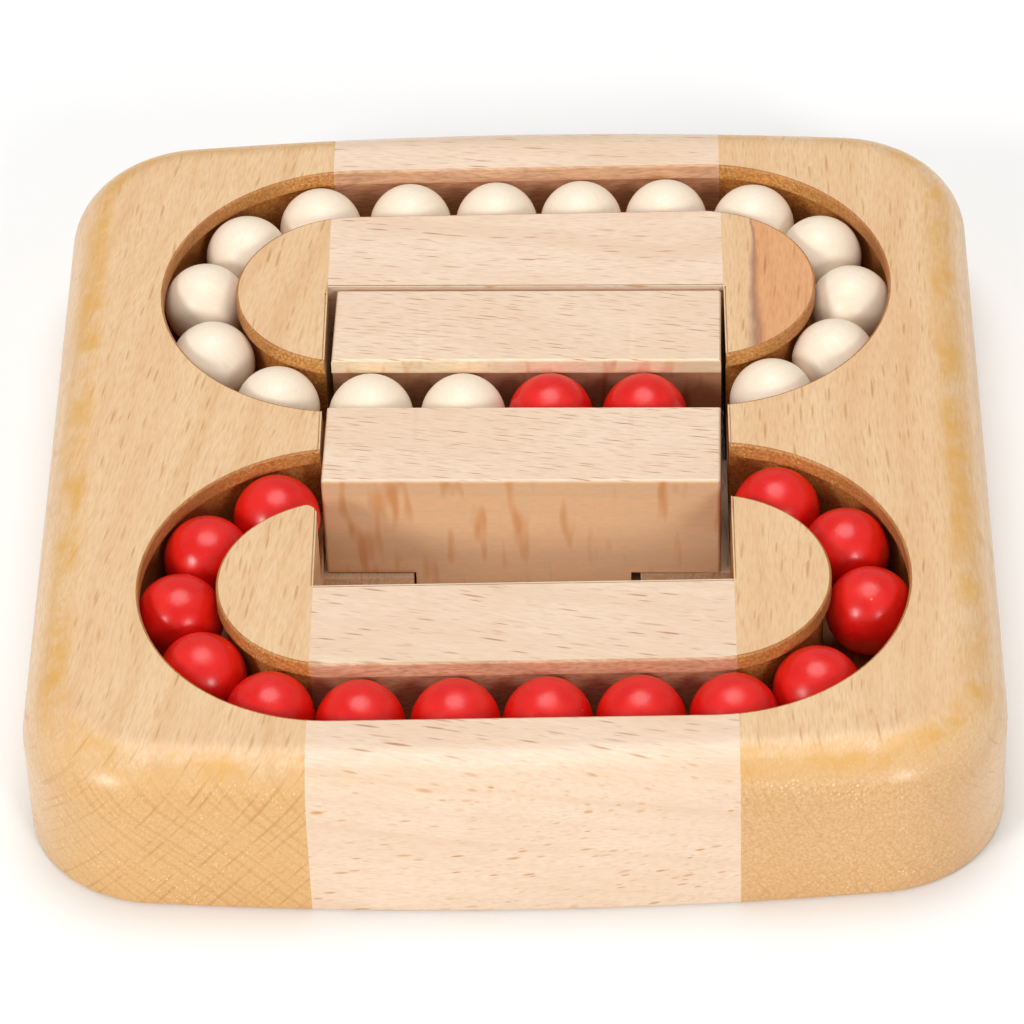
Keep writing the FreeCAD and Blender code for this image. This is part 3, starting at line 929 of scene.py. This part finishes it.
# %% The rest strips
for node in ("left_ledge", "right_ledge"):
    strip = block(node.replace("ledge", "rest_strip"), *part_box(node))
    bpy.ops.object.mode_set(mode="EDIT")
    bpy.ops.mesh.select_all(action="SELECT")
    bpy.ops.mesh.bevel(offset=0.2 * MM, segments=2, profile=0.5, affect="EDGES")
    finish_solid()
    strip.data.materials.append(raw_strip)
    smooth(strip)
    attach(strip, "frame")
    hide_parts(node)

# %% [markdown]
# The balls are turned from beech, sanded, and waxed or painted. A lathe leaves a small flat
# at each end of its axis, where the ball was parted off, and very faint rings about that
# axis. One ball is made from a sphere with its two ends flattened. Its own coordinates are
# stored on it in millimetres before it is copied, so that the grain and the rings turn with
# each ball, and each copy shifts them to get a different piece of wood. The natural ones keep
# a satin wax. The red ones carry dipped enamel, which is glossier, with the soft skin of an
# orange. Both have an IOR near 1.5, as waxes and paints do.

# %% Natural and painted ball finishes
def ball_wood(tree):
    """The ball's own coordinates in millimetres, with the lathe's axis upright."""
    return add(tree, "ShaderNodeAttribute", attribute_name="turned").outputs["Vector"]


def natural_ball():
    """Pale beech, turned and waxed: almost white, with soft rings and a few open pores."""
    material, tree = fresh("waxed_beech_ball")
    wood = ball_wood(tree)
    fibres = stretched_noise(tree, wood, (0.5, 6, 0.5), 2)
    fibre = add(tree, "ShaderNodeMapRange", {0: fibres, 1: 0.35, 2: 0.75, 4: 0.6}).outputs[0]
    tone = add(
        tree, "ShaderNodeMix", {FACTOR: fibre, COLOUR_A: "#F5E4CE", COLOUR_B: "#F0DBC0"}, data_type="RGBA"
    ).outputs[MIXED]
    pores = ray_marks(tree, wood, (1.6, 3, 1.6), (0.22, 1.3, 0.22), 0.3)
    pores = add(tree, "ShaderNodeMath", {0: pores, 1: 0.3}, operation="MULTIPLY").outputs[0]
    tone = add(
        tree, "ShaderNodeMix", {FACTOR: pores, COLOUR_A: tone, COLOUR_B: "#B08A5C"}, data_type="RGBA"
    ).outputs[MIXED]
    upright = add(tree, "ShaderNodeSeparateXYZ", {0: wood}).outputs[2]
    ring_place = add(tree, "ShaderNodeMath", {0: upright, 1: 0.35}, operation="DIVIDE").outputs[0]
    rings = add(
        tree, "ShaderNodeTexNoise", {"W": ring_place, "Scale": 1, "Detail": 1}, noise_dimensions="1D"
    ).outputs[0]
    relief = add(tree, "ShaderNodeMath", {0: rings, 1: pores}, operation="SUBTRACT").outputs[0]
    bump = add(tree, "ShaderNodeBump", {"Height": relief, "Strength": 0.4, "Distance": 0.03 * MM})
    sheen = add(tree, "ShaderNodeMapRange", {0: fibres, 1: 0.3, 2: 0.8, 3: 0.36, 4: 0.5}).outputs[0]
    wax = add(
        tree,
        "ShaderNodeBsdfPrincipled",
        {"Base Color": tone, "Roughness": sheen, "Normal": bump.outputs[0], "IOR": 1.5},
    )
    add(tree, "ShaderNodeOutputMaterial", {"Surface": wax.outputs[0]})
    return material


def painted_ball():
    """Red dipped enamel on beech: semi-gloss, with an orange-peel skin and a few dust pits."""
    material, tree = fresh("red_enamel_ball")
    wood = ball_wood(tree)
    clouds = add(tree, "ShaderNodeTexNoise", {"Vector": wood, "Scale": 1 / 3, "Detail": 2}).outputs[0]
    cloud = add(tree, "ShaderNodeMapRange", {0: clouds, 1: 0.35, 2: 0.65}).outputs[0]
    tone = add(
        tree, "ShaderNodeMix", {FACTOR: cloud, COLOUR_A: "#D9130C", COLOUR_B: "#E31C12"}, data_type="RGBA"
    ).outputs[MIXED]
    pits = ray_marks(tree, wood, (3.2, 3.2, 3.2), (0.42, 0.5, 0.42), 0.3)
    tone = add(
        tree, "ShaderNodeMix", {FACTOR: pits, COLOUR_A: tone, COLOUR_B: "#F28A78"}, data_type="RGBA"
    ).outputs[MIXED]
    skin = add(tree, "ShaderNodeTexNoise", {"Vector": wood, "Scale": 1 / 1.2, "Detail": 1}).outputs[0]
    relief = add(tree, "ShaderNodeMath", {0: skin, 1: pits}, operation="SUBTRACT").outputs[0]
    bump = add(tree, "ShaderNodeBump", {"Height": relief, "Strength": 0.5, "Distance": 0.05 * MM})
    gloss = add(tree, "ShaderNodeMapRange", {0: clouds, 1: 0.3, 2: 0.7, 3: 0.24, 4: 0.36}).outputs[0]
    enamel = add(
        tree,
        "ShaderNodeBsdfPrincipled",
        {"Base Color": tone, "Roughness": gloss, "Normal": bump.outputs[0], "IOR": 1.5},
    )
    add(tree, "ShaderNodeOutputMaterial", {"Surface": enamel.outputs[0]})
    return material


waxed_ball = natural_ball()
enamel_ball = painted_ball()

# %% One ball
bpy.ops.object.select_all(action="DESELECT")
bpy.ops.mesh.primitive_uv_sphere_add(segments=48, ring_count=40, radius=BALL_RADIUS, location=(0, 0, 0))
first_ball = bpy.context.object
first_ball.name = "turned_ball"
flat_z = BALL_RADIUS * math.cos(math.radians(9))
bpy.ops.object.mode_set(mode="EDIT")
for side in (1, -1):
    select_edges(first_ball, lambda place: place.z * side > flat_z + 0.01 * MM)
    bpy.ops.transform.resize(value=(1, 1, 0), center_override=(0, 0, flat_z * side))
finish_solid()
only(first_ball)
bpy.ops.object.shade_smooth()
turned = first_ball.data.attributes.new("turned", "FLOAT_VECTOR", "POINT")
turned.data.foreach_set("vector", [value / MM for vertex in first_ball.data.vertices for value in vertex.co])
print("ball", len(first_ball.data.polygons), "faces,", round(first_ball.dimensions.z / MM, 2), "mm tall")

# %% Copies in both loops and in the channel
def place_ball(node, name, finish, number):
    """A copy of the first ball at a node's place, turned its own way."""
    low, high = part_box(node)
    ball = copy_of(first_ball, name)
    ball.rotation_euler = (1.1 * number, 0.7 * number * number, 0.4 * number)
    ball.location = (low + high) / 2
    bpy.ops.object.transform_apply(location=True, rotation=True, scale=True)
    shift = Vector((17.0, 5.0, 29.0)) * number
    own = ball.data.attributes["turned"]
    for item in own.data:
        item.vector = item.vector + shift
    ball.data.materials.append(finish)
    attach(ball, node)
    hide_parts(node)


for number in range(1, 17):
    label = f"{number:02d}"
    place_ball("cream_ball_" + label, "natural_ball_" + label, waxed_ball, number)
    place_ball("red_ball_" + label, "painted_ball_" + label, enamel_ball, number + 16)
bpy.data.objects.remove(first_ball)

# %% [markdown]
# Underneath, a thin plywood plate is screwed to the tongue and keeps the slider from
# lifting out. Its screws are countersunk, so the plate gets four drilled and countersunk
# holes. The hole's profile is drawn as a line from the axis out and back, and Spin turns it
# a full circle, as a drill would.

# %% Plywood and zinc plate
def plywood():
    """Sanded plywood: rotary-cut veneer on the faces, and plies 0.8 mm thick on the edges."""
    material, tree = fresh("sanded_plywood_keeper")
    seen = add(tree, "ShaderNodeTexCoord")
    scale = {"Vector": seen.outputs["Object"], "Scale": (1000, 1000, 1000)}
    board_mm = add(tree, "ShaderNodeMapping", scale).outputs[0]
    veneer = stretched_noise(tree, board_mm, (14, 1.2, 1.2), 4)
    figure = add(tree, "ShaderNodeMapRange", {0: veneer, 1: 0.35, 2: 0.65}).outputs[0]
    tone = add(
        tree, "ShaderNodeMix", {FACTOR: figure, COLOUR_A: "#D9B585", COLOUR_B: "#E8CCA2"}, data_type="RGBA"
    ).outputs[MIXED]
    height = add(tree, "ShaderNodeSeparateXYZ", {0: board_mm}).outputs[2]
    layers = add(tree, "ShaderNodeMath", {0: height, 1: 1.6}, operation="PINGPONG").outputs[0]
    dark_ply = add(tree, "ShaderNodeMapRange", {0: layers, 1: 0.75, 2: 0.85, 4: 0.6}).outputs[0]
    upright = add(tree, "ShaderNodeSeparateXYZ", {0: seen.outputs["Normal"]}).outputs[2]
    level = add(tree, "ShaderNodeMath", {0: upright}, operation="ABSOLUTE").outputs[0]
    edge = add(tree, "ShaderNodeMapRange", {0: level, 1: 0.6, 2: 0.3, 4: 1}).outputs[0]
    plies = add(tree, "ShaderNodeMath", {0: dark_ply, 1: edge}, operation="MULTIPLY").outputs[0]
    tone = add(
        tree, "ShaderNodeMix", {FACTOR: plies, COLOUR_A: tone, COLOUR_B: "#A87948"}, data_type="RGBA"
    ).outputs[MIXED]
    bump = add(tree, "ShaderNodeBump", {"Height": veneer, "Strength": 0.4, "Distance": 0.05 * MM}).outputs[0]
    raw = add(
        tree, "ShaderNodeBsdfPrincipled", {"Base Color": tone, "Roughness": 0.68, "Normal": bump, "IOR": 1.5}
    )
    add(tree, "ShaderNodeOutputMaterial", {"Surface": raw.outputs[0]})
    return material


def zinc_plate():
    """Bright zinc plate on steel: a metal, slightly clouded, with fine tumbling marks."""
    material, tree = fresh("zinc_plated_steel")
    seen = add(tree, "ShaderNodeTexCoord")
    place = seen.outputs["Object"]
    clouds = add(tree, "ShaderNodeTexNoise", {"Vector": place, "Scale": 900, "Detail": 3}).outputs[0]
    cloud = add(tree, "ShaderNodeMapRange", {0: clouds, 1: 0.35, 2: 0.65}).outputs[0]
    tone = add(
        tree, "ShaderNodeMix", {FACTOR: cloud, COLOUR_A: "#B9BABB", COLOUR_B: "#CFCFCC"}, data_type="RGBA"
    ).outputs[MIXED]
    scuffs = add(tree, "ShaderNodeMapRange", {0: clouds, 1: 0.3, 2: 0.7, 3: 0.28, 4: 0.45}).outputs[0]
    bump = add(tree, "ShaderNodeBump", {"Height": clouds, "Strength": 0.2, "Distance": 0.02 * MM}).outputs[0]
    metal = add(
        tree,
        "ShaderNodeBsdfPrincipled",
        {"Base Color": tone, "Metallic": 1.0, "Roughness": scuffs, "Normal": bump},
    )
    add(tree, "ShaderNodeOutputMaterial", {"Surface": metal.outputs[0]})
    return material


# %% The keeper and its countersunk holes
SCREW_HEAD_RADIUS = 2.6 * MM
SCREW_RADIUS = 1.4 * MM
SCREW_HEAD_HEIGHT = 1.3 * MM
SCREW_FIT = 0.05 * MM
screws_low, screws_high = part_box("keeper_screws")
keeper_low, keeper_high = square_box("keeper_plate")


def screw_hole(x, y):
    """A countersunk hole's shape, from just under the plate to just above the screw's tip."""
    below = 0.5 * MM
    head = SCREW_HEAD_RADIUS + SCREW_FIT
    shank = SCREW_RADIUS + SCREW_FIT
    hole = start_line("screw_hole", (x, y, keeper_low.z - below))
    line_by(head, 0, 0)
    line_by(0, 0, below)
    line_by(shank - head, 0, SCREW_HEAD_HEIGHT)
    line_by(0, 0, screws_high.z + SCREW_FIT - keeper_low.z - SCREW_HEAD_HEIGHT)
    line_by(-shank, 0, 0)
    bpy.ops.mesh.select_all(action="SELECT")
    arc_by((x, y, 0), 360, 32)
    finish_solid()
    return hole


keeper = block("keeper_board", keeper_low, keeper_high)
bpy.ops.object.mode_set(mode="EDIT")
bpy.ops.mesh.select_all(action="SELECT")
bpy.ops.mesh.bevel(offset=0.3 * MM, segments=3, profile=0.5, affect="EDGES")
finish_solid()
turn_askew(keeper, keeper_low, keeper_high)
screws_middle = (screws_low + screws_high) / 2
screws_reach = (screws_high - screws_low) / 2 - Vector((SCREW_HEAD_RADIUS, SCREW_HEAD_RADIUS, 0))
screw_x = (screws_reach.x * math.cos(ASKEW) - screws_reach.y * math.sin(ASKEW)) / math.cos(2 * ASKEW)
screw_y = (screws_reach.y * math.cos(ASKEW) - screws_reach.x * math.sin(ASKEW)) / math.cos(2 * ASKEW)
for side_x in (-1, 1):
    for side_y in (-1, 1):
        offset = Matrix.Rotation(-ASKEW, 3, "Z") @ Vector((side_x * screw_x, side_y * screw_y, 0))
        cut(keeper, screw_hole(screws_middle.x + offset.x, screws_middle.y + offset.y))
        cut(slider, screw_hole(screws_middle.x + offset.x, screws_middle.y + offset.y))
keeper.data.materials.clear()
keeper.data.materials.append(plywood())
smooth(keeper)
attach(keeper, "slider")
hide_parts("keeper_plate")
frame["nodes"]["keeper_screws"].data.materials.clear()
frame["nodes"]["keeper_screws"].data.materials.append(zinc_plate())

# %% [markdown]
# The light is soft and bright, as on a white studio table. One large panel hangs
# straight overhead and gives the wide glow on top of each ball. Two smaller panels stand low
# in front, to the left and the right, and light the near edge and the balls' lower glints.
# The room itself is white, which fills the shadows and brightens the rims of the balls.

# %% The table, the room and the lights
def white_table():
    """White matt laminate, with just enough grain to be a real surface."""
    material, tree = fresh("matt_white_laminate")
    seen = add(tree, "ShaderNodeTexCoord")
    place = seen.outputs["Object"]
    grain = add(tree, "ShaderNodeTexNoise", {"Vector": place, "Scale": 60, "Detail": 3}).outputs[0]
    tone = add(
        tree, "ShaderNodeMix", {FACTOR: grain, COLOUR_A: "#F8F8F7", COLOUR_B: "#FBFBFA"}, data_type="RGBA"
    ).outputs[MIXED]
    matt = add(tree, "ShaderNodeBsdfPrincipled", {"Base Color": tone, "Roughness": 0.7})
    add(tree, "ShaderNodeOutputMaterial", {"Surface": matt.outputs[0]})
    return material


bpy.ops.object.select_all(action="DESELECT")
bpy.ops.mesh.primitive_plane_add(size=6, location=(0, 0, 0))
table = bpy.context.object
table.name = "table"
table.data.materials.append(white_table())

room = bpy.data.worlds.new("white_room")
room.use_nodes = True
room.node_tree.nodes["Background"].inputs["Color"].default_value = (1, 1, 1, 1)
room.node_tree.nodes["Background"].inputs["Strength"].default_value = 0.4
bpy.context.scene.world = room
bpy.context.scene.view_settings.view_transform = "Standard"


def panel(name, place, size, watts):
    """A round soft light that faces the puzzle."""
    bpy.ops.object.select_all(action="DESELECT")
    bpy.ops.object.light_add(type="AREA", location=place)
    light = bpy.context.object
    light.name = name
    light.rotation_euler = (Vector(place) - Vector((0, 0, TOP))).to_track_quat("Z", "Y").to_euler()
    light.data.shape = "DISK"
    light.data.size = size
    light.data.energy = watts


panel("overhead_panel", (0.0, 0.14, 1.0), 0.75, 5.45)
panel("front_left_panel", (-1.24, -1.24, 0.92), 0.5, 13.2)
panel("front_right_panel", (0.84, -1.7, 0.84), 0.5, 11.3)
